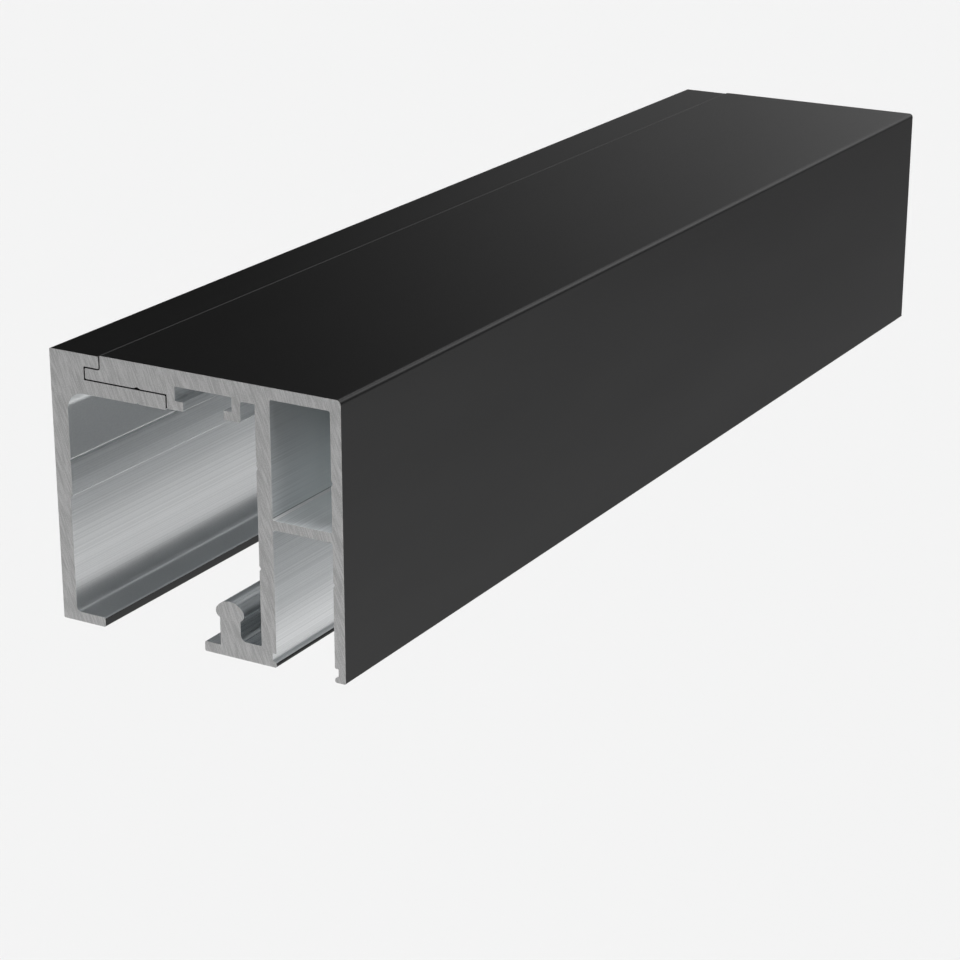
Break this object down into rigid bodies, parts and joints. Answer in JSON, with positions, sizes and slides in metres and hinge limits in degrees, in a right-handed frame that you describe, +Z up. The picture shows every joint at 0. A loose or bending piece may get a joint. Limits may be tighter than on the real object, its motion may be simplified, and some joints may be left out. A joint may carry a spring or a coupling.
{
  "type": "two-part sliding door track section",
  "caption": "Short cut length of extruded aluminium sliding door track: one profile with running rail, stop slot and pane pocket, closed by a hook-on side cover.",
  "frame": {"origin": "middle of the underside, level with the cover's foot, halfway along the cut length", "axes": "+X across the section from the cover towards the fascia, +Y along the extrusion, +Z up towards the ceiling"},
  "size_m": [0.07, 0.295, 0.0593],
  "materials": {
    "track_black_anodised": "satin black outside, bare brushed metal inside, sawn ends",
    "cover_black_anodised": "satin black outside, bare brushed metal inside, sawn ends"
  },
  "bodies": {
    "root": {"track_profile": "track_black_anodised", "cover_profile": "cover_black_anodised"}
  },
  "joints": []
}
